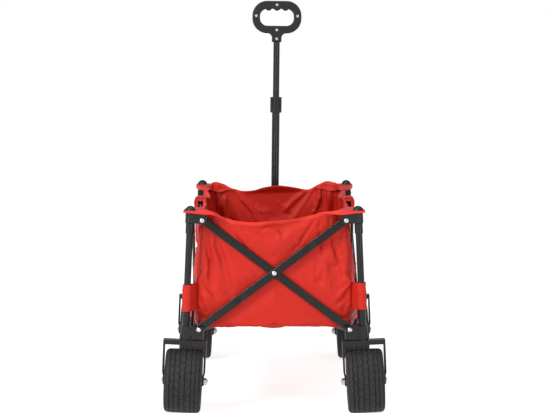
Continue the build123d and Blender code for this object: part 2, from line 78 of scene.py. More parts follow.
HEM, HEM_THICK = 0.009, 0.0015
FOOT_HEM, FOOT_HEM_THICK = 0.011, 0.0016
STITCH_PITCH, STITCH_LENGTH, STITCH_SIZE = 0.0042, 0.0030, 0.0007
FOOT_HANG = 0.0035  # how far the bottom seam's edge hangs under the floor
RIVET_LONGEST = 0.044  # separate solids under this size are rivets and pins
BRACKET_FACE = 0.01253  # the brackets' outer planes, from the post axes
BESIDE_POST = 0.020  # rivet heads lie further than this from the post axes
BRACKET_DEEP = 0.022  # how far the brackets reach inward of the post axes
PIPING_R = 0.0013
EDGE_LIP = 0.0055  # how much lower a flap's bound edge hangs halfway along
RIM_COVER = 0.0010  # a flap's edge over the rim that it is sewn to
FLAP_SAG = {-1: 0.004, 1: 0.010}  # how far the flaps' inner edges hang, at the rear and at the front
BESIDE_ARMS = 0.0026  # how far the cloth may bulge behind an arm
BETWEEN_END_ARMS = 0.009  # how much further between the arms of an end wall
BETWEEN_SIDE_ARMS = 0.017  # the same on a side wall
INWARD_MOST = 0.034  # how far the cloth may sag into the load space
FLOOR_GAP = 0.0035  # between the floor's edges and the walls
FLAP_STEPS = 31
STRAP_R = 0.0126
STRAPS = {"rear_left": (0.286, 0.360), "rear_right": (0.292, 0.366), "front_left": (0.286, 0.360),
          "front_right": (0.286, 0.360)}  # foot and top of the post straps
TAB_HALF = 0.024  # half of a hood's width
TAB_CHEEK_Z = 0.5545  # foot of a hood's end over the arms
TAB_FOOT_Z = 0.530  # the same outboard of the arms
BESIDE_OUTER_ARM = 0.0039  # just outboard of the outer arms, from the post axes
SIM_FRAMES = 26
CLOTH_SETTINGS = {
    "vertex_group_mass": "held", "quality": 5, "mass": 0.25, "tension_stiffness": 22,
    "compression_stiffness": 22, "shear_stiffness": 6, "bending_stiffness": 0.35,
    "shrink_min": -0.022, "shrink_max": -0.022, "air_damping": 3,
}

# --- Tyres ---
TYRE_BEAD_R = 0.0562
TYRE_HALF = 0.0508
TREAD_HALF, TREAD_R = 0.0388, 0.0890
BORE_HALF = 0.0465
TREAD_STEPS = 720
GROOVE = 0.0026
GROOVES = np.array([-0.0345, -0.0225, -0.0075, 0.0075, 0.0235, 0.0350])
RIB_PHASE = np.array([0.0, 0.37, 0.81, 0.22, 0.63, 0.09, 0.5])

# --- Camera and light ---
SKY_TOP = 0.42  # the sky's brightness overhead, 1 at the horizon
FLOOR_HALF = 60.0
FLOOR_LOOK = {"Base Color": (0.45, 0.45, 0.45, 1), "Roughness": 0.9, "Specular IOR Level": 0.1,
              "Emission Color": (1, 1, 1, 1), "Emission Strength": 0.80}
LAMP_TARGET = (0, 0, 0.45)
LAMPS = {  # place, width, height and power
    "key": ((-2.2, -2.4, 3.0), 1.2, 1.2, 120),
    "top": ((0.3, -0.6, 3.3), 1.3, 1.3, 34),
    "left": ((-1.9, -2.7, 1.2), 0.32, 2.2, 30),
    "right": ((1.9, -2.7, 1.2), 0.32, 2.2, 30),
}
LENS, SENSOR = 124.0, 36.0
CAMERA_PLACE = (0.002, -5.636, 1.072)
CAMERA_DOWN = 5.443  # degrees under the horizon

# --- Colours, linear ---
RED = (0.395, 0.0135, 0.0070)
RED_EDGE = (0.50, 0.023, 0.015)
COAT = (0.0062, 0.0064, 0.0060)
PLASTIC = (0.0070, 0.0071, 0.0068)
RUBBER = (0.0120, 0.0122, 0.0120)


# --- Materials ---
def material(name, color, rough, bump=(), tint=0.0, tint_scale=40.0, **shader):
    """A procedural material. bump is (scale, distance, detail) in object space, tint varies its colour."""
    mat = bpy.data.materials.new(name)
    mat.use_nodes = True
    nodes, links = mat.node_tree.nodes, mat.node_tree.links
    bsdf = nodes["Principled BSDF"]
    bsdf.inputs["Roughness"].default_value = rough
    for key, value in shader.items():
        bsdf.inputs[key.replace("_", " ")].default_value = value
    place = nodes.new("ShaderNodeTexCoord")
    cloud = nodes.new("ShaderNodeTexNoise")
    cloud.inputs["Scale"].default_value = tint_scale
    cloud.inputs["Detail"].default_value = 5
    ramp = nodes.new("ShaderNodeValToRGB")
    ramp.color_ramp.elements[0].position = 0.3
    ramp.color_ramp.elements[1].position = 0.7
    ramp.color_ramp.elements[0].color = (*[c * (1 - tint) for c in color], 1)
    ramp.color_ramp.elements[1].color = (*[min(1, c * (1 + tint)) for c in color], 1)
    links.new(place.outputs["Object"], cloud.inputs["Vector"])
    links.new(cloud.outputs["Fac"], ramp.inputs["Fac"])
    links.new(ramp.outputs["Color"], bsdf.inputs["Base Color"])
    previous = None
    for scale, distance, detail in bump:
        grain = nodes.new("ShaderNodeTexNoise")
        grain.inputs["Scale"].default_value = scale
        grain.inputs["Detail"].default_value = detail
        links.new(place.outputs["Object"], grain.inputs["Vector"])
        previous = add_bump(mat, grain.outputs["Fac"], distance, previous)
    return mat


def add_bump(mat, height, distance, previous=None):
    """Puts a bump of a height output in front of the shader, over a previous bump."""
    nodes, links = mat.node_tree.nodes, mat.node_tree.links
    node = nodes.new("ShaderNodeBump")
    node.inputs["Distance"].default_value = distance
    node.inputs["Strength"].default_value = 1.0
    links.new(height, node.inputs["Height"])
    if previous:
        links.new(previous.outputs["Normal"], node.inputs["Normal"])
    links.new(node.outputs["Normal"], nodes["Principled BSDF"].inputs["Normal"])
    return node


def soften_edges(mat, radius):
    """Rounds a material's hard edges in shading."""
    nodes, links = mat.node_tree.nodes, mat.node_tree.links
    bevel = nodes.new("ShaderNodeBevel")
    bevel.samples = 6
    bevel.inputs["Radius"].default_value = radius
    bumps = [node for node in nodes if node.type == "BUMP" and not node.inputs["Normal"].is_linked]
    target = bumps[0].inputs["Normal"] if bumps else nodes["Principled BSDF"].inputs["Normal"]
    links.new(bevel.outputs["Normal"], target)
    return mat


def woven(name, color):
    """Coated polyester: a plain weave laid out by the cloth's own UV, in metres."""
    mat = material(name, color, 0.50, tint=0.04, tint_scale=9.0, bump=((60.0, 0.0006, 4.0),),
                   Specular_IOR_Level=0.15)
    nodes, links = mat.node_tree.nodes, mat.node_tree.links
    uv = nodes.new("ShaderNodeUVMap")
    threads = []
    for direction in ("X", "Y"):
        wave = nodes.new("ShaderNodeTexWave")
        wave.bands_direction = direction
        wave.inputs["Scale"].default_value = 320.0
        wave.inputs["Distortion"].default_value = 0.6
        links.new(uv.outputs["UV"], wave.inputs["Vector"])
        threads.append(wave.outputs["Fac"])
    weave = nodes.new("ShaderNodeMath")
    weave.operation = "MAXIMUM"
    for index, thread in enumerate(threads):
        links.new(thread, weave.inputs[index])
    bumps = [node for node in nodes if node.type == "BUMP"]
    add_bump(mat, weave.outputs["Value"], 0.00005, bumps[-1])
    return mat


FABRIC = woven("red_polyester", RED)
BINDING = woven("red_binding", RED_EDGE)
THREAD = material("red_thread", (0.60, 0.045, 0.030), 0.6, tint=0.05, Specular_IOR_Level=0.2)
STEEL = soften_edges(material("black_powder_coat", COAT, 0.19, tint=0.12, bump=((900.0, 0.00004, 2.0),),
                              Specular_IOR_Level=0.26), 0.0024)
MOULDED = soften_edges(material("black_moulding", PLASTIC, 0.40, tint=0.10, bump=((1500.0, 0.00004, 2.0),),
                                Specular_IOR_Level=0.28), 0.0012)
ZINC = material("bright_zinc", (0.50, 0.51, 0.52), 0.32, tint=0.04, bump=((350.0, 0.00004, 2.0),),
                Metallic=1.0)
TREAD = material("tyre_rubber", RUBBER, 0.62, tint=0.14, tint_scale=60.0,
                 bump=((700.0, 0.00012, 3.0), (2600.0, 0.00005, 2.0)), Specular_IOR_Level=0.28)
WHEEL = soften_edges(material("wheel_moulding", PLASTIC, 0.5, tint=0.1, bump=((900.0, 0.00006, 2.0),),
                              Specular_IOR_Level=0.36), 0.001)

SLOT_MATERIALS = {
    "frame_steel": STEEL,
    "black_plastic": MOULDED,
    "bright_steel": ZINC,
    "tyre": TREAD,
    "wheel_plastic": WHEEL,
    "red_fabric": FABRIC,
}


def small_shells(mesh, size):
    """The polygons of a mesh's separate shells that are under a size, such as rivets in a bracket."""
    owner = list(range(len(mesh.vertices)))

    def find(item):
        while owner[item] != item:
            owner[item] = owner[owner[item]]
            item = owner[item]
        return item

    joined = {}
    for vertex in mesh.vertices:
        key = tuple(round(value, 6) for value in vertex.co)
        owner[find(vertex.index)] = find(joined.setdefault(key, vertex.index))
    for edge in mesh.edges:
        owner[find(edge.vertices[0])] = find(edge.vertices[1])
    spans = {}
    for vertex in mesh.vertices:
        low, high = spans.setdefault(find(vertex.index), ([9.0] * 3, [-9.0] * 3))
        for axis in range(3):
            low[axis] = min(low[axis], vertex.co[axis])
            high[axis] = max(high[axis], vertex.co[axis])
    small = {root for root, (low, high) in spans.items() if max(h - l for l, h in zip(low, high)) < size}
    return [face for face in mesh.polygons if find(face.vertices[0]) in small]


def bracket_heads(node):
    """The polygons of a bracket's rivet heads, which stand out of its two plates beside the post."""
    if "bracket" not in node.name:
        return []
    found = []
    for face in node.data.polygons:
        place = node.matrix_world @ face.center
        inboard = (float(post_x(place.z)) - abs(place.x)) * POST_AXIS.z
        inward = POST_Y - abs(place.y)
        on_end = inward < -BRACKET_FACE and inboard > BESIDE_POST
        on_side = inboard < -BRACKET_FACE and inward > BESIDE_POST
        if on_end or on_side:
            found.append(face)
    return found


def finish_cad_nodes():
    """Gives every CAD node its material, and its rivets, pins and nuts bright zinc."""
    for part in frame["record"]["subparts"]:
        node = frame["nodes"][part["node"]]
        mesh = node.data
        mesh.materials.clear()
        mesh.materials.append(SLOT_MATERIALS[part["material_slot"]])
        if "arm_" in node.name or "bracket" in node.name or node.name == "handle_base":
            mesh.materials.append(ZINC)
            for face in small_shells(mesh, RIVET_LONGEST) + bracket_heads(node):
                face.material_index = 1


# --- Mesh building ---
def add_mesh(name, points, faces, mat, uvs=None, smooth=True):
    """An object from points and faces, with an optional (u, v) for each point."""
    mesh = bpy.data.meshes.new(name)
    mesh.from_pydata([tuple(map(float, point)) for point in points], [], faces)
    mesh.validate()
    mesh.update()
    if uvs is not None:
        layer = mesh.uv_layers.new(name="cloth")
        index = np.empty(len(mesh.loops), np.int64)
        mesh.loops.foreach_get("vertex_index", index)
        layer.data.foreach_set("uv", np.asarray(uvs, float)[index].ravel())
    mesh.polygons.foreach_set("use_smooth", [smooth] * len(mesh.polygons))
    mesh.set_sharp_from_angle(angle=radians(55))
    mesh.materials.append(mat)
    obj = bpy.data.objects.new(name, mesh)
    bpy.context.scene.collection.objects.link(obj)
    return obj


def grid_faces(columns, rows, close_columns=False, close_rows=False, start=0, flip=False):
    """Quads of a grid of points stored column by column."""
    faces = []
    for i in range(columns if close_columns else columns - 1):
        for j in range(rows if close_rows else rows - 1):
            a, b = i * rows + j, ((i + 1) % columns) * rows + j
            c, d = ((i + 1) % columns) * rows + (j + 1) % rows, i * rows + (j + 1) % rows
            quad = [start + k for k in (a, b, c, d)]
            faces.append(quad[::-1] if flip else quad)
    return faces


def normals_of(grid, closed=False):
    """Unit normals of a grid of points, along the columns' and the rows' cross product."""
    wide = np.concatenate([grid[-2:], grid, grid[:2]]) if closed else grid
    along = np.gradient(wide, axis=0)
    up = np.gradient(wide, axis=1)
    normal = np.cross(along, up)
    normal /= np.linalg.norm(normal, axis=2, keepdims=True) + 1e-12
    return normal[2:-2] if closed else normal


def lengths(grid):
    """Distance of each point of a grid along its column's rows and across its columns."""
    across = np.zeros(grid.shape[:2])
    across[1:] = np.cumsum(np.linalg.norm(np.diff(grid, axis=0), axis=2), axis=0)
    up = np.zeros(grid.shape[:2])
    up[:, 1:] = np.cumsum(np.linalg.norm(np.diff(grid, axis=1), axis=2), axis=1)
    return np.stack([np.broadcast_to(across.mean(axis=1, keepdims=True), up.shape), up], axis=2)


def unit(vectors):
    """Rows of vectors made 1 long."""
    return vectors / np.linalg.norm(vectors, axis=1, keepdims=True)


def run_along(line):
    """Distance of each point of a line from its start, along it."""
    return np.concatenate([[0], np.cumsum(np.linalg.norm(np.diff(line, axis=0), axis=1))])


def at_run(at, run, line):
    """Values of a line at distances from its start."""
    return np.stack([np.interp(at, run, line[:, k]) for k in range(3)], axis=-1)


def cloth_shell(name, grid, normal, mat, thickness=CLOTH):
    """A closed thin sheet round a grid of middle points."""
    columns, rows = grid.shape[:2]
    count = columns * rows
    outer, inner = grid + normal * thickness / 2, grid - normal * thickness / 2
    faces = grid_faces(columns, rows) + grid_faces(columns, rows, start=count, flip=True)
    rim = [i * rows for i in range(columns)]
    rim += [(columns - 1) * rows + j for j in range(1, rows)]
    rim += [i * rows + rows - 1 for i in range(columns - 2, -1, -1)]
    rim += [j for j in range(rows - 2, 0, -1)]
    for a, b in zip(rim, rim[1:] + rim[:1]):
        faces.append([b, a, a + count, b + count])
    uv = lengths(grid).reshape(-1, 2)
    points = np.concatenate([outer.reshape(-1, 3), inner.reshape(-1, 3)])
    return add_mesh(name, points, faces, mat, np.concatenate([uv, uv]))


def swept(name, sections, mat, smooth=True):
    """A closed bar through a row of closed sections, each an array of points."""
    sections = np.asarray(sections)
    columns, rows = sections.shape[:2]
    faces = grid_faces(columns, rows, close_rows=True)
    faces.append(list(range(rows)))
    faces.append([(columns - 1) * rows + j for j in range(rows - 1, -1, -1)])
    return add_mesh(name, sections.reshape(-1, 3), faces, mat, lengths(sections).reshape(-1, 2), smooth)


def smooth_curve(points, count):
    """Points along a Catmull-Rom curve through a few points."""
    points = np.asarray(points, float)
    ends = np.concatenate([[2 * points[0] - points[1]], points, [2 * points[-1] - points[-2]]])
    steps = np.linspace(0, len(points) - 1 - 1e-9, count)
    index = steps.astype(int)
    t = (steps - index).reshape((-1,) + (1,) * (points.ndim - 1))
    a, b, c, d = ends[index], ends[index + 1], ends[index + 2], ends[index + 3]
    return 0.5 * (2 * b + (c - a) * t + (2 * a - 5 * b + 4 * c - d) * t**2 + (3 * b - a - 3 * c + d) * t**3)


def tube(name, path, radius, mat, sides=8):
    """A round cord along a path of points."""
    path = np.asarray(path, float)
    along = unit(np.gradient(path, axis=0))
    side = unit(np.cross(along, [0.3, 0.5, 0.81]))
    other = np.cross(along, side)
    angles = np.arange(sides) * 2 * pi / sides
    rings = [p + radius * (np.outer(np.cos(angles), s) + np.outer(np.sin(angles), o))
             for p, s, o in zip(path, side, other)]
    return swept(name, rings, mat)


def ride(obj, body):
    """Fastens a piece to a body."""
    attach(obj, body)
    return obj


# --- Basket ---
def post_x(z):
    """Distance of a post's axis from the middle of the wagon at a height."""
    return np.abs(POST_POINT.x + POST_AXIS.x / POST_AXIS.z * (z - POST_POINT.z))


def waves(u, v, count, shortest, longest, seed):
    """Smooth random waves over two coordinates, about 1 high at most."""
    draw = np.random.default_rng(seed)
    total = np.zeros(np.broadcast(u, v).shape)
    for _ in range(count):
        length = draw.uniform(shortest, longest)
        turn, phase = draw.uniform(0, pi), draw.uniform(0, 2 * pi)
        total = total + np.sin(2 * pi / length * (u * cos(turn) + v * sin(turn)) + phase)
    return total / count**0.5 / 1.6


def smoothstep(x):
    """0 to 1 with level ends."""
    x = np.clip(x, 0, 1)
    return x * x * (3 - 2 * x)


# Heights of the four rims, as (place along the wall, height): X on the end walls, Y on the side walls.
RIMS = {
    "rear": [(-0.232, 0.5640), (-0.165, 0.5500), (-0.134, 0.5400), (-0.094, 0.5350), (-0.058, 0.5325),
             (-0.005, 0.5370), (0.045, 0.5415), (0.080, 0.5468), (0.125, 0.5560), (0.170, 0.5610),
             (0.232, 0.5640)],
    "front": [(-0.232, 0.5650), (-0.198, 0.5735), (-0.172, 0.5660), (-0.146, 0.5535), (-0.109, 0.5470),
              (-0.068, 0.5495), (-0.037, 0.5590), (0.010, 0.5660), (0.057, 0.5610), (0.113, 0.5510),
              (0.145, 0.5640), (0.176, 0.5755), (0.207, 0.5710), (0.232, 0.5650)],
    "left": [(-0.440, 0.5640), (-0.300, 0.5600), (-0.180, 0.5520), (-0.080, 0.5570), (0.0, 0.5640),
             (0.080, 0.5570), (0.190, 0.5500), (0.300, 0.5600), (0.440, 0.5640)],
    "right": [(-0.440, 0.5640), (-0.300, 0.5605), (-0.200, 0.5500), (-0.070, 0.5560), (0.0, 0.5640),
              (0.070, 0.5580), (0.170, 0.5510), (0.300, 0.5600), (0.440, 0.5640)],
}

# Creases of each end wall in millimetres: course as (along, height) points, width and depth.
# Depth is inward below 0.
CREASES = {
    "rear": [
        ([(-165, 545), (-128, 515), (-85, 470), (-70, 440)], 11, -10),
        ([(-120, 535), (-90, 520), (-50, 512)], 9, -7),
        ([(-205, 530), (-195, 470), (-180, 420), (-182, 380)], 8, -10),
        ([(-186, 520), (-172, 460), (-150, 410)], 9, 6),
        ([(-168, 500), (-160, 455), (-128, 415)], 8, -8),
        ([(-55, 490), (-20, 522), (18, 510), (14, 470), (-6, 440)], 8, -10),
        ([(20, 532), (44, 495), (30, 450), (36, 420)], 10, 6),
        ([(48, 525), (70, 500), (80, 470)], 8, -7),
        ([(-10, 440), (0, 425), (-4, 412)], 6, 6),
        ([(122, 545), (130, 500), (128, 460), (150, 420)], 8, -11),
        ([(156, 550), (160, 500), (172, 450), (182, 410)], 8, -11),
        ([(186, 535), (188, 480), (200, 430)], 6, -8),
        ([(110, 430), (150, 410), (185, 415)], 9, -6),
        ([(-100, 385), (-70, 352), (-80, 310)], 12, -7),
        ([(-150, 350), (-120, 330), (-80, 335)], 10, -5),
        ([(-30, 420), (-50, 380), (-35, 350)], 11, -8),
        ([(55, 428), (80, 395), (120, 372), (135, 335)], 12, -9),
        ([(40, 350), (90, 352), (130, 375), (180, 372)], 10, -6),
        ([(95, 285), (150, 295), (190, 320)], 11, -7),
        ([(-30, 330), (10, 315), (45, 325)], 12, -4),
        ([(-207, 258), (-190, 285), (-196, 325)], 8, -9),
        ([(-196, 250), (-165, 268), (-145, 262)], 7, -6),
        ([(207, 258), (192, 285), (198, 325)], 8, -9),
        ([(196, 250), (170, 270), (135, 258)], 7, -6),
    ],
    "front": [
        ([(-196, 560), (-190, 500), (-196, 420)], 8, -12),
        ([(-160, 545), (-170, 490), (-156, 420)], 8, -18),
        ([(-150, 530), (-100, 515), (-66, 480), (-70, 430)], 11, -16),
        ([(-128, 510), (-124, 470), (-140, 430)], 10, 8),
        ([(-40, 545), (-55, 510), (-30, 470)], 10, -12),
        ([(-20, 520), (25, 505), (50, 470), (40, 430)], 10, -13),
        ([(100, 548), (60, 520), (30, 490)], 11, -14),
        ([(85, 500), (110, 480), (100, 440)], 10, 8),
        ([(150, 560), (140, 510), (112, 450)], 9, -18),
        ([(184, 560), (180, 500), (186, 420)], 8, -14),
        ([(-20, 400), (60, 360), (140, 330)], 14, -10),
        ([(-150, 330), (-80, 350), (-10, 320)], 12, -9),
    ],
}


def random_creases():
    """More creases on the two long walls, mostly hanging from their tops and corners."""
    draw = np.random.default_rng(3)
    made = []
    for wall in ("left", "right"):
        for k in range(26):
            y = -0.41 + 0.82 * (k + draw.uniform(0.1, 0.9)) / 26
            top = draw.uniform(0.46, 0.56)
            drop = draw.uniform(0.08, 0.20)
            lean = draw.uniform(-0.06, 0.06)
            course = [(y, top), (y + lean * 0.4, top - drop / 2), (y + lean, max(0.25, top - drop))]
            made.append((wall, course, draw.uniform(0.007, 0.014), -draw.uniform(0.004, 0.013)))
        for k in range(12):
            y = draw.uniform(-0.38, 0.38)
            z = draw.uniform(0.27, 0.42)
            course = [(y, z), (y + draw.uniform(0.03, 0.09), z + draw.uniform(-0.04, 0.04))]
            made.append((wall, course, draw.uniform(0.009, 0.016), -draw.uniform(0.004, 0.010)))
    return made


def crease_height(u, z, course, width, depth):
    """Displacement of one crease: steep on one side of its course and gentle on the other."""
    path = smooth_curve(course, 24)
    runs = np.gradient(path, axis=0)
    nearest = np.full(u.shape, 9.0)
    for index, ((a, b), (run_a, run_b)) in enumerate(zip(path, runs)):
        fade = sin(pi * (index + 0.5) / len(path)) ** 0.5
        left = (u - a) * run_b - (z - b) * run_a > 0
        distance = np.hypot(u - a, z - b) / width * np.where(left, 1.7, 0.75)
        nearest = np.minimum(nearest, distance + (1 - fade) * 1.5)
    return depth * np.exp(-nearest**1.6)


def arm_lines():
    """The courses of the scissor arms on an end wall and on a side wall, as pairs of (along, height)."""
    low, centre = JOINTS["rear_right_low"]["pos_m"], JOINTS["rear_centre"]["pos_m"]
    ends = [((-k * low[0], low[2]), (k * low[0], 2 * centre[2] - low[2])) for k in (-1, 1)]
    low, top = JOINTS["left_rear_low"]["pos_m"], JOINTS["left_middle_top"]["pos_m"]
    sides = []
    for k in (-1, 1):
        sides += [((k * low[1], low[2]), (0, top[2])), ((k * low[1], top[2]), (0, low[2]))]
    return ends, sides


def room_outside(walls, along, z):
    """How far the cloth may bulge out at places on the walls: most between the arms, none at a pivot."""
    room = np.zeros(z.shape)
    ends, sides = arm_lines()
    for names, lines, between in ((("rear", "front"), ends, BETWEEN_END_ARMS),
                                  (("left", "right"), sides, BETWEEN_SIDE_ARMS)):
        chosen = np.array([w in names for w in walls])
        a, h = along[chosen], z[chosen]
        nearest = np.full(a.shape, 9.0)
        pivot = np.full(a.shape, 9.0)
        for start, stop in lines:
            run = np.subtract(stop, start)
            t = np.clip(((a - start[0]) * run[0] + (h - start[1]) * run[1]) / (run @ run), 0, 1)
            nearest = np.minimum(nearest, np.hypot(a - start[0] - t * run[0], h - start[1] - t * run[1]))
            for x, y in (start, stop):
                pivot = np.minimum(pivot, np.hypot(a - x, h - y))
        free = BESIDE_ARMS + between * smoothstep((nearest - 0.014) / 0.05)
        room[chosen] = free * smoothstep((pivot - 0.022) / 0.02)
    return room


class Tub:
    """The basket's walls as one closed grid of columns round the wagon, rows from floor to rim."""

    def __init__(self):
        self.half_x = float(post_x((FLOOR_Z + FLAP_Z) / 2)) - WALL_INSET
        self.half_y = POST_Y - WALL_INSET
        end = self.half_x - CORNER_ROUND + CORNER_ROUND * pi / 4
        side = self.half_y - CORNER_ROUND + CORNER_ROUND * pi / 4
        self.ends, self.sides = round(end / COLUMN), round(side / COLUMN)
        self.quarter = self.ends + self.sides
        self.columns = 4 * self.quarter
        to_corner, past_corner = np.linspace(0, end, self.ends + 1), np.linspace(0, side, self.sides + 1)
        steps = np.concatenate([to_corner, end + past_corner[1:]])
        outline = np.array([self.outline(s) for s in steps])
        loop, walls, gaps = [], [], []
        turns = [("rear", "left", -1, -1, False), ("front", "left", -1, 1, True),
                 ("front", "right", 1, 1, False), ("rear", "right", 1, -1, True)]
        for end_wall, side_wall, right, front, back in turns:
            order = range(self.quarter, 0, -1) if back else range(self.quarter)
            for k in order:
                x, y = outline[k]
                loop.append((right * x, front * y))
                walls.append(end_wall if k <= self.ends else side_wall)
                gaps.append(abs(steps[k] - end))
        self.loop, self.walls, self.gap = np.array(loop), walls, np.array(gaps)
        self.grid = self.hang()

    def outline(self, s):
        """A quarter of the rounded rectangle, from the middle of an end wall."""
        straight = self.half_x - CORNER_ROUND
        arc = CORNER_ROUND * pi / 2
        if s <= straight:
            return s, self.half_y
        if s <= straight + arc:
            turn = (s - straight) / CORNER_ROUND
            return straight + CORNER_ROUND * sin(turn), self.half_y - CORNER_ROUND * (1 - cos(turn))
        return self.half_x, self.half_y - CORNER_ROUND - (s - straight - arc)

    def along(self):
        """Each column's place along its wall."""
        places = zip(self.loop, self.walls)
        return np.array([x if wall in ("rear", "front") else y for (x, y), wall in places])

    def rim(self):
        """Each column's rim height."""
        along = self.along()
        heights = np.zeros(self.columns)
        for wall, points in RIMS.items():
            chosen = np.array([w == wall for w in self.walls])
            fine = smooth_curve(points, 200)
            heights[chosen] = np.interp(along[chosen], fine[:, 0], fine[:, 1])
        return heights

    def hang(self):
        """The walls' middle surface, with the folds that the cut and the frame give them."""
        v = np.linspace(0, 1, ROWS)
        rim = self.rim()
        z = FLOOR_Z + v[None, :] * (rim[:, None] - FLOOR_Z)
        near = np.exp(-((self.gap / 0.045) ** 2))[:, None]
        pull = np.interp(z, *np.array([(0.24, 0.008), (0.262, 0.010), (0.300, -0.003), (0.355, -0.004),
                                       (0.45, 0.001), (0.53, 0.004), (0.566, 0.003)]).T)
        x = self.loop[:, 0][:, None] * (post_x(z) - WALL_INSET) / self.half_x
        y = self.loop[:, 1][:, None] + 0 * z
        x = x - np.sign(x) * near * pull
        y = y - np.sign(y) * near * pull
        grid = np.stack([x, y, z], axis=2)
        return grid + self.outward()[:, None, :] * self.folds(z)[:, :, None]

    def outward(self):
        """Level unit vectors that point out of the basket, one a column."""
        out = np.zeros((self.columns, 3))
        for k, wall in enumerate(self.walls):
            x, y = self.loop[k]
            turn = min(1.0, max(0.0, 1 - self.gap[k] / (CORNER_ROUND * pi / 4)))
            straight = np.array([0, np.sign(y)]) if wall in ("rear", "front") else np.array([np.sign(x), 0])
            mixed = (1 - turn) * straight + turn * np.array([np.sign(x), np.sign(y)]) * 0.7071
            out[k, :2] = mixed / np.hypot(*mixed)
        return out

    def folds(self, z):
        """Displacement of every point out of its wall."""
        along = self.along()[:, None] + 0 * z
        round_place = np.cumsum(np.ones(self.columns))[:, None] * COLUMN + 0 * z
        room = room_outside(self.walls, along, z)
        total = 0.72 * room + 0.0022 * waves(round_place, z, 9, 0.09, 0.26, 11)
        total += 0.0011 * waves(round_place, z * 0.6, 9, 0.03, 0.07, 12)
        fixed = [(wall, np.array(course) / 1000, width / 1000, depth / 1000)
                 for wall, creases in CREASES.items() for course, width, depth in creases]
        for wall, course, width, depth in fixed + random_creases():
            chosen = np.array([w == wall for w in self.walls])
            total[chosen] += crease_height(along[chosen], z[chosen], course, width, depth)
        on_side = np.array([w in ("left", "right") for w in self.walls])[:, None]
        ripples = waves(round_place, z * 0.3, 7, 0.035, 0.08, 14)
        total += on_side * 0.004 * ripples * smoothstep((z - 0.50) / 0.05)
        calm = smoothstep(self.gap / 0.03)[:, None] * smoothstep((z - FLOOR_Z) / 0.02)
        return np.clip(total * calm, -INWARD_MOST, room)


def simulate(tub):
    """Lets the walls buckle and sag as cloth between their sewn places."""
    columns, rows = tub.grid.shape[:2]
    faces = grid_faces(columns, rows, close_columns=True)
    obj = add_mesh("draping", tub.grid.reshape(-1, 3), faces, FABRIC)
    rim = tub.grid[:, -1, 2]
    held = np.zeros((columns, rows))
    held[:, 0] = 1
    z = tub.grid[:, :, 2]
    corner = (tub.gap < 0.010)[:, None]
    held[corner & ((z > 0.545) | ((z > 0.285) & (z < 0.36)) | (z < 0.26))] = 1
    held[(tub.gap < 0.085)[:, None] & (z > rim[:, None] - 0.004)] = 1
    middle = (np.abs(tub.loop[:, 1]) < 0.016)[:, None]
    held[middle & (z > rim[:, None] - 0.004)] = 1
    group = obj.vertex_groups.new(name="held")
    group.add([int(k) for k in np.nonzero(held.ravel())[0]], 1.0, "REPLACE")
    modifier = obj.modifiers.new("cloth", "CLOTH")
    for key, value in CLOTH_SETTINGS.items():
        setattr(modifier.settings, key, value)
    modifier.collision_settings.use_collision = False
    modifier.collision_settings.use_self_collision = False
    scene = bpy.context.scene
    scene.frame_start, scene.frame_end = 1, SIM_FRAMES
    modifier.point_cache.frame_start, modifier.point_cache.frame_end = 1, SIM_FRAMES
    for step in range(1, SIM_FRAMES + 1):
        scene.frame_set(step)
    settled = obj.evaluated_get(bpy.context.evaluated_depsgraph_get()).to_mesh()
    points = np.empty(len(settled.vertices) * 3)
    settled.vertices.foreach_get("co", points)
    scene.frame_set(1)
    mesh = obj.data
    bpy.data.objects.remove(obj)
    bpy.data.meshes.remove(mesh)
    return limited(tub, points.reshape(tub.grid.shape))


def limited(tub, moved):
    """Keeps simulated cloth within its room between the arms and the load space."""
    out = tub.outward()[:, None, :]
    shift = moved - tub.grid
    away = (shift * out).sum(axis=2, keepdims=True)
    level = shift - away * out
    z = tub.grid[:, :, 2]
    room = room_outside(tub.walls, tub.along()[:, None] + 0 * z, z) - tub.folds(z)
    away = np.minimum(away, np.maximum(room, 0)[:, :, None])
    away = -INWARD_MOST * np.tanh(-np.minimum(away, 0) / INWARD_MOST) + np.maximum(away, 0)
    reach = np.linalg.norm(level, axis=2, keepdims=True)
    most = 0.003 + 0.009 * smoothstep((tub.rim()[:, None] - z) / 0.12)[:, :, None]
    level = level * np.minimum(1, most / (reach + 1e-9))
    return tub.grid + away * out + level


def finer(grid):
    """The closed grid with twice the columns and rows, on smooth curves."""
    wrapped = np.concatenate([grid[-1:], grid, grid[:2]])
    a, b, c, d = wrapped[:-3], wrapped[1:-2], wrapped[2:-1], wrapped[3:]
    middle = (9 * (b + c) - a - d) / 16
    columns = np.empty((2 * len(grid),) + grid.shape[1:])
    columns[0::2], columns[1::2] = grid, middle
    swapped = columns.swapaxes(0, 1)
    rows = smooth_curve(swapped, 2 * grid.shape[1] - 1)
    return rows.swapaxes(0, 1)


def hem_sections(grid, normal, width, thick, top=True, hang=()):
    """Sections of a binding folded over the top or the bottom edge of a wall, hanging past it if asked."""
    sections = []
    for index, (column, out) in enumerate(zip(grid, normal)):
        line, out = (column[::-1], out[::-1]) if top else (column, out)
        run = run_along(line)
        at = np.linspace(0, width, 5)
        middle, facing = at_run(at, run, line), at_run(at, run, out)
        past = thick + (hang[index] if len(hang) else 0)
        beyond = middle[0] + (middle[0] - middle[1]) / np.linalg.norm(middle[0] - middle[1]) * past
        section = np.concatenate([middle[::-1] + facing[::-1] * thick, [beyond], middle - facing * thick])
        sections.append(section)
    return np.array(sections)


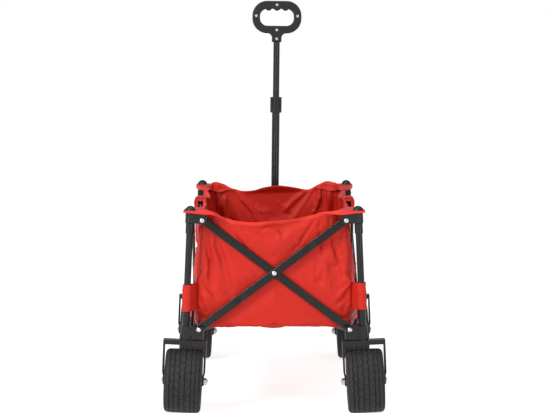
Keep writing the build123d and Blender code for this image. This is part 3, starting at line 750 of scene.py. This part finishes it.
def stitches(name, path, out, pitch, length, size):
    """A row of short raised stitches along a path, as one mesh of small closed bars."""
    run = run_along(path)
    points, faces = [], []
    for start in np.arange(pitch / 2, run[-1] - length, pitch):
        ends = []
        for at in (start, start + length):
            place, facing = at_run(at, run, path), at_run(at, run, out)
            ends.append((place, facing / np.linalg.norm(facing)))
        along = ends[1][0] - ends[0][0]
        along /= np.linalg.norm(along)
        first = len(points)
        for place, facing in ends:
            side = np.cross(along, facing)
            for a, b in ((-1, -0.4), (1, -0.4), (0.5, 1), (-0.5, 1)):
                points.append(place + side * a * size / 2 + facing * b * size / 2)
        faces += [[first + k for k in quad] for quad in
                  ((0, 1, 5, 4), (1, 2, 6, 5), (2, 3, 7, 6), (3, 0, 4, 7), (3, 2, 1, 0), (4, 5, 6, 7))]
    return add_mesh(name, points, faces, THREAD)


def wall_pieces(tub, grid):
    """The eight half walls with their hems and stitching, and the corners' seams.
    """
    walls, seams = [], {}
    normal = -normals_of(grid, closed=True)
    out = np.repeat(tub.outward(), 2, axis=0)
    normal *= np.sign((normal * out[:, None, :]).sum(axis=(1, 2)))[:, None, None]
    ends, quarter, columns = 2 * tub.ends, 2 * tub.quarter, 2 * tub.columns
    places = np.arange(columns)[:, None] * COLUMN / 2
    hang = FOOT_HANG * (1 + 0.6 * waves(places, 0 * places, 6, 0.08, 0.3, 51))[:, 0]
    hang *= smoothstep(np.repeat(tub.gap, 2) / 0.05)
    starts = {"rear_left": (0, 1), "front_left": (2 * quarter, -1), "front_right": (2 * quarter, 1),
              "rear_right": (4 * quarter, -1)}
    for corner, (middle, step) in starts.items():
        seam = (middle + step * ends) % columns
        spans = {"end": range(middle, middle + step * (ends + 1), step),
                 "side": range(middle + step * ends, middle + step * (quarter + 1), step)}
        for kind, span in spans.items():
            picked = [k % columns for k in span][::step]
            patch, facing = grid[picked], normal[picked]
            name = f"{corner}_{kind}_wall"
            wall = cloth_shell(name, patch, facing, FABRIC)
            top = swept(f"{name}_rim", hem_sections(patch, facing, HEM, HEM_THICK), BINDING)
            sections = hem_sections(patch, facing, FOOT_HEM, FOOT_HEM_THICK, False, hang[picked])
            foot = swept(f"{name}_foot", sections, FABRIC)
            rows = [stitch_row(f"{name}_rim_thread", patch, facing, HEM - 0.0018, True),
                    stitch_row(f"{name}_foot_thread", patch, facing, 0.0092, False)]
            run = lengths(patch)
            ride(wall, f"upper_{corner}")
            for piece in (top, foot, *rows):
                ride(piece, f"upper_{corner}")
            for piece in (wall, top, foot, *rows):
                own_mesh(piece)
            walls.append(wall)
        path = grid[seam] + out[seam] * 0.0012
        piping = tube(f"{corner}_seam", path, PIPING_R, BINDING)
        ride(piping, f"upper_{corner}")
        seams[corner] = grid[seam]
    return walls, seams


def stitch_row(name, grid, normal, depth, top):
    """Stitches along a hem on the outside, a distance in from the edge."""
    path, facing = [], []
    for column, out in zip(grid, normal):
        line, out = (column[::-1], out[::-1]) if top else (column, out)
        run = run_along(line)
        path.append(at_run(depth, run, line))
        facing.append(at_run(depth, run, out))
    path, facing = np.array(path), np.array(facing)
    return stitches(name, path + facing * 0.0017, facing, STITCH_PITCH, STITCH_LENGTH, STITCH_SIZE)


def corner_point(corner, x, y, z):
    """A point x inboard and y inward of a corner's post axis, at a height."""
    right, front = CORNERS[corner]
    return np.array([right * (post_x(z) - x), front * (POST_Y - y), z])


def floor_pieces():
    """Four quarters of the floor, each over its own floor bar."""
    for corner, (right, front) in CORNERS.items():
        edge_x = float(post_x(FLOOR_Z)) - WALL_INSET - FLOOR_GAP
        edge_y = POST_Y - WALL_INSET - FLOOR_GAP
        u = np.linspace(0, 1, 34)[:, None]
        v = np.linspace(0, 1, 60)[None, :]
        x, y = edge_x * u + 0 * v, edge_y * v + 0 * u
        cut = smoothstep((x / edge_x - 0.86) / 0.14) * smoothstep((y / edge_y - 0.92) / 0.08)
        x, y = x - 0.010 * cut, y - 0.010 * cut
        z = FLOOR_Z + 0.0016 + 0.0012 * waves(right * x, front * y, 8, 0.06, 0.2, 21)
        edge = np.minimum(1, np.minimum((1 - u), (1 - v)) * 12)
        z = FLOOR_Z + (z - FLOOR_Z) * smoothstep(edge)
        quarter = np.stack([right * x, front * y, z], axis=2)
        normal = normals_of(quarter)
        normal *= np.sign(normal[5, 5, 2])
        sheet = cloth_shell(f"{corner}_floor", quarter, normal, FABRIC, FLOOR_CLOTH)
        ride(sheet, f"bar_{corner}")
        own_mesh(sheet)


def flap_edges(corner):
    """The flap's end edge, side edge and inner edge as (x, y) in the corner's own directions."""
    tip, end_tip, side_tip = (-0.018, -0.0175), (0.104, 0.0235), (0.0235, 0.150)
    end = smooth_curve([tip, (0.020, -0.0175), (0.060, -0.010), end_tip], FLAP_STEPS)
    side = smooth_curve([tip, (-0.0175, 0.040), (-0.006, 0.095), side_tip], FLAP_STEPS)
    rear = CORNERS[corner][1] < 0
    middle = [(0.084, 0.058), (0.054, 0.098)] if rear else [(0.064, 0.031), (0.036, 0.052)]
    inner = smooth_curve([end_tip, *middle, side_tip], FLAP_STEPS)
    return end, side, inner


def flap_pieces():
    """Corner flaps, held on the post tops by the caps, with bound edges."""
    for index, (corner, (right, front)) in enumerate(CORNERS.items()):
        end, side, inner = flap_edges(corner)
        end_rim = smooth_curve(RIMS["rear" if front < 0 else "front"], 200).T
        side_rim = smooth_curve(RIMS["left" if right < 0 else "right"], 200).T
        a = np.linspace(0, 1, FLAP_STEPS)[:, None, None]
        r = np.linspace(0, 1, FLAP_STEPS)[None, :, None]
        ruled = (1 - a) * end[None] + a * side[None]
        plan = ruled + (inner[:, None] - ruled[:, -1:]) * r**1.5
        x, y = plan[..., 0], plan[..., 1]
        at_end = np.interp(right * (post_x(FLAP_Z) - x[:1]), *end_rim) + RIM_COVER
        at_side = np.interp(front * (POST_Y - y[-1:]), *side_rim) + RIM_COVER
        free = smoothstep((r[..., 0] - 0.58) / 0.34)
        share = a[..., 0] ** 1.5 / (a[..., 0] ** 1.5 + (1 - a[..., 0]) ** 1.5)
        level = (1 - share) * at_end + share * at_side
        clear = smoothstep((np.minimum(x, y) - BRACKET_DEEP) / 0.012)
        sag = FLAP_SAG[front] * np.sin(pi * a[..., 0]) * smoothstep((r[..., 0] - 0.4) / 0.6) * clear
        crumple = 0.0016 * waves(x, y, 7, 0.025, 0.07, 31 + index) * np.sin(pi * a[..., 0])
        z = FLAP_Z + free * (level - FLAP_Z + crumple) - sag
        grid = np.stack([right * (post_x(FLAP_Z) - x), front * (POST_Y - y), z], axis=2)
        normal = normals_of(grid)
        normal *= np.sign(normal[10, 10, 2])
        flap = cloth_shell(f"{corner}_flap", grid, normal, FABRIC, FLAP_CLOTH)
        lines = {"end": grid[0], "side": grid[-1], "inner": grid[:, -1]}
        bound = []
        for kind, line in lines.items():
            lip = EDGE_LIP * np.sin(pi * np.linspace(0, 1, len(line)) ** 1.2) ** 2
            sewn_edge, free_edge = (0.0016, 0.0040 + lip, 0.0013), (0.0008, 0.0010 + 0 * lip, 0.0009)
            high, low, half = free_edge if kind == "inner" else sewn_edge
            bound.append(edge_binding(f"{corner}_flap_{kind}_edge", line, high, low, half))
        ride(flap, f"upper_{corner}")
        for piece in bound:
            ride(piece, f"upper_{corner}")
        for piece in (flap, *bound):
            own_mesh(piece)


def edge_binding(name, line, high, low, half):
    """A flat binding on edge along a line, hanging as low as given at each point."""
    up = np.array([0, 0, 1.0])
    side = unit(np.cross(unit(np.gradient(line, axis=0)), up))
    sections = []
    for point, s, drop in zip(line, side, low):
        section = [(-half, -drop), (half, -drop), (half, high * 0.6), (half * 0.5, high),
                   (-half * 0.5, high), (-half, high * 0.6)]
        sections.append([point + s * a + up * b for a, b in section])
    return swept(name, sections, BINDING)


def strap_pieces(seams):
    """Fabric straps sewn to the corner seams and wrapped round the posts."""
    for index, (corner, (foot, top)) in enumerate(STRAPS.items()):
        seam = seams[corner]
        heights = np.linspace(foot, top, 22)
        sections = []
        for z in heights:
            sewn = np.array([np.interp(z, seam[:, 2], seam[:, k]) for k in range(2)])
            post = corner_point(corner, 0, 0, z)[:2]
            start = sewn - post
            inward = start / np.linalg.norm(start)
            spread = np.arccos(min(0.98, STRAP_R / np.linalg.norm(start)))
            base = np.arctan2(inward[1], inward[0])
            wobble = 0.0005 * sin(z * 260 + index) + 0.0004 * sin(z * 610 + 2 * index)
            angles = np.linspace(base + spread, base + 2 * pi - spread, 30)
            arc = post + (STRAP_R + wobble) * np.stack([np.cos(angles), np.sin(angles)], axis=1)
            legs = np.linspace(0, 1, 6)[:-1, None]
            first = sewn + (arc[0] - sewn) * legs
            last = arc[-1] + (sewn - arc[-1]) * np.linspace(0, 1, 6)[1:, None]
            loop = np.concatenate([first, arc, last])
            sections.append(np.column_stack([loop, np.full(len(loop), z)]))
        grid = np.array(sections).swapaxes(0, 1)
        normal = normals_of(grid)
        middle = grid[len(grid) // 2, 5, :2] - corner_point(corner, 0, 0, foot)[:2]
        normal *= np.sign(normal[len(grid) // 2, 5, :2] @ middle)
        strap = cloth_shell(f"{corner}_post_strap", grid, normal, FABRIC, STRAP_CLOTH)
        ride(strap, f"upper_{corner}")
        length = float(lengths(grid)[-1, 0, 0])


def middle_tabs():
    """Hoods sewn to the side rims, hooked over the middle pivots of the long sides."""
    for side, right in (("left", -1), ("right", 1)):
        pivot = Vector(JOINTS[f"{side}_middle_top"]["pos_m"])
        post = float(post_x(pivot.z))
        wall = post - WALL_INSET
        out = post + 0.0030
        course = smooth_curve([(wall - 0.0012, 0.540), (wall - 0.0008, 0.5605), (wall + 0.007, 0.5645),
                               (out - 0.007, 0.5650), (out + 0.0008, 0.5600), (out + 0.0028, 0.548),
                               (out + 0.0024, 0.536), (out + 0.0012, 0.524)], 30)
        widths = np.linspace(-TAB_HALF, TAB_HALF, 17)
        grid = np.array([[(right * x, y, z) for y in widths] for x, z in course])
        grid[..., 0] += right * 0.0010 * waves(grid[..., 1], grid[..., 2], 5, 0.02, 0.05, 41)
        normal = normals_of(grid)
        normal *= np.sign(normal[12, 8, 2] + normal[12, 8, 0] * right)
        tab = cloth_shell(f"{side}_middle_tab", grid, normal, FABRIC, STRAP_CLOTH)
        cheeks = []
        for end, y in (("rear", -TAB_HALF), ("front", TAB_HALF)):
            edge = course[4:26].copy()
            foot = np.where(edge[:, 0] > post - BESIDE_OUTER_ARM, TAB_FOOT_Z, TAB_CHEEK_Z)
            inner = np.column_stack([edge[:, 0], np.minimum(edge[:, 1], foot)])
            t = np.linspace(0, 1, 8)[None, :, None]
            flat = edge[:, None] * (1 - t) + inner[:, None] * t
            cheek = np.stack([right * flat[..., 0], np.full(flat.shape[:2], y) + 0 * flat[..., 0],
                              flat[..., 1]], axis=2)
            cheek[..., 1] -= np.sign(y) * 0.0022 * np.sin(pi * t[..., 0]) * np.ones(flat.shape[:2])
            facing = np.zeros(cheek.shape)
            facing[..., 1] = np.sign(y)
            cheeks.append(cloth_shell(f"{side}_{end}_tab_cheek", cheek, facing, FABRIC, CHEEK_CLOTH))
        ride(tab, f"{side}_rear_arm_rising")
        round(float(lengths(grid)[-1, 0, 0]), 4)
        for cheek in cheeks:
            ride(cheek, f"{side}_rear_arm_rising")


def basket():
    """The whole fabric basket."""
    tub = Tub()
    grid = simulate(tub)
    walls, seams = wall_pieces(tub, finer(grid))
    floor_pieces()
    flap_pieces()
    strap_pieces(seams)
    middle_tabs()
    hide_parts("basket")


# --- Tyres ---
def tyre_profile():
    """Half widths and radii round the tyre's section, from one bead over the tread to the other."""
    side = [(0.0470, 0.0562), (0.0482, 0.0600), (0.0500, 0.0680), (TYRE_HALF, 0.0750)]
    angles = np.linspace(0, pi / 2, 9)[1:]
    shoulder = [(TYRE_HALF - 0.012 * (1 - cos(t)), 0.0765 + 0.0118 * sin(t)) for t in angles]
    tread = [(u, TREAD_R - 0.0007 * (u / TREAD_HALF) ** 2) for u in np.linspace(0.0375, 0, 44)]
    half = side + shoulder + tread
    return np.array(half + [(-u, r) for u, r in half[-2::-1]])


def tread_cut(u, turn):
    """Depth of the tread's grooves at a place across the tyre and round it, up to 1."""
    cut = np.zeros(np.broadcast(u, turn).shape)
    for k, middle in enumerate(GROOVES):
        wavy = 0.0011 * np.sin(turn * 23 + 1.7 * k) + 0.0004 * np.sin(turn * 61 + k)
        cut = np.maximum(cut, 1 - smoothstep((np.abs(u - middle - wavy) - 0.0007) / 0.0009))
    rib = np.searchsorted(GROOVES, np.broadcast_to(u, cut.shape))
    slant = np.where(rib % 2 == 0, 14.0, -11.0)
    place = (turn * 26 / (2 * pi) + u * slant + RIB_PHASE[rib]) % 1.0
    thin = 1 - smoothstep((np.abs(place - 0.5) - 0.018) / 0.022)
    cut = np.maximum(cut, 0.55 * thin * (np.abs(u) < 0.0335))
    notch = (turn * 104 / (2 * pi) + np.abs(u) * 60) % 1.0
    block = 1 - smoothstep((np.abs(notch - 0.5) - 0.14) / 0.12)
    return np.maximum(cut, 0.75 * block * smoothstep((np.abs(u) - 0.0425) / 0.002))


def tyres():
    """Four wide tyres with wavy ribs and slanted shoulder blocks."""
    profile = tyre_profile()
    turn = (np.arange(TREAD_STEPS) * 2 * pi / TREAD_STEPS)[:, None]
    u, r = profile[:, 0][None, :] + 0 * turn, profile[:, 1][None, :] + 0 * turn
    on_tread = smoothstep((r - 0.0775) / 0.003)
    depth = GROOVE * tread_cut(u, turn + 0 * u) * on_tread
    raised_ring = 0.0006 * np.exp(-(((r - 0.070) / 0.0014) ** 2))
    lean = np.clip((np.abs(u) - TREAD_HALF) / 0.012, 0, 1)
    radius = r - depth * np.sqrt(1 - lean**2 * 0.9)
    across = u - np.sign(u) * (depth * lean * 0.8) + np.sign(u) * raised_ring
    bore = np.array([(-BORE_HALF, TYRE_BEAD_R - 0.0004), (BORE_HALF, TYRE_BEAD_R - 0.0004)])
    for corner in CORNERS:
        spin = JOINTS[f"{corner}_spin"]
        axle, centre = Vector(spin["axis"]).normalized(), Vector(spin["pos_m"])
        up = (Vector((0, 0, 1)) - axle * axle.z).normalized()
        ahead = axle.cross(up)
        rings = []
        for k in range(TREAD_STEPS):
            t = k * 2 * pi / TREAD_STEPS
            spoke = np.array(up) * cos(t) + np.array(ahead) * sin(t)
            us = np.concatenate([across[k], bore[:, 0]])
            rs = np.concatenate([radius[k], bore[:, 1]])
            rings.append(np.array(centre) + np.outer(us, np.array(axle)) + np.outer(rs, spoke))
        grid = np.array(rings)
        faces = grid_faces(grid.shape[0], grid.shape[1], close_columns=True, close_rows=True)
        tyre = add_mesh(f"{corner}_tread", grid.reshape(-1, 3), faces, TREAD)
        ride(tyre, f"wheel_{corner}")
        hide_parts(f"{corner}_tyre")


# --- Setting ---
def stage():
    """A pale floor that reaches the horizon."""
    mat = bpy.data.materials.new("studio_floor")
    mat.use_nodes = True
    for key, value in FLOOR_LOOK.items():
        mat.node_tree.nodes["Principled BSDF"].inputs[key].default_value = value
    corners = [(x * FLOOR_HALF, y * FLOOR_HALF, 0) for x, y in ((-1, -1), (1, -1), (1, 1), (-1, 1))]
    add_mesh("studio_floor", corners, [[0, 1, 2, 3]], mat)


def area_light(name, place, width, height, power):
    """A soft lamp aimed at the wagon."""
    lamp = bpy.data.lights.new(name, "AREA")
    lamp.shape = "RECTANGLE"
    lamp.size, lamp.size_y = width, height
    lamp.energy = power
    obj = bpy.data.objects.new(name, lamp)
    obj.location = place
    obj.rotation_euler = (Vector(LAMP_TARGET) - Vector(place)).to_track_quat("-Z", "Y").to_euler()
    bpy.context.scene.collection.objects.link(obj)


def lights():
    """A bright studio: a sky that is white at the horizon and dimmer above, and the lamps."""
    world = bpy.data.worlds.new("studio")
    bpy.context.scene.world = world
    world.use_nodes = True
    nodes, links = world.node_tree.nodes, world.node_tree.links
    direction = nodes.new("ShaderNodeTexCoord")
    parts = nodes.new("ShaderNodeSeparateXYZ")
    fade = nodes.new("ShaderNodeMapRange")
    for key, value in (("From Min", 0.06), ("From Max", 0.40), ("To Min", 1.0), ("To Max", SKY_TOP)):
        fade.inputs[key].default_value = value
    links.new(direction.outputs["Generated"], parts.inputs["Vector"])
    links.new(parts.outputs["Z"], fade.inputs["Value"])
    links.new(fade.outputs["Result"], nodes["Background"].inputs["Strength"])
    nodes["Background"].inputs["Color"].default_value = (1, 1, 1, 1)
    for name, lamp in LAMPS.items():
        area_light(name, *lamp)


def camera():
    """A long lens in front of the rear end, looking a little down."""
    data = bpy.data.cameras.new("camera")
    data.lens, data.sensor_width = LENS, SENSOR
    data.clip_end = 100
    obj = bpy.data.objects.new("camera", data)
    obj.location = CAMERA_PLACE
    obj.rotation_euler = (radians(90 - CAMERA_DOWN), 0, 0)
    bpy.context.scene.collection.objects.link(obj)
    bpy.context.scene.camera = obj


finish_cad_nodes()
camera()
lights()
stage()
basket()
tyres()
bpy.context.scene.view_settings.view_transform = "Standard"
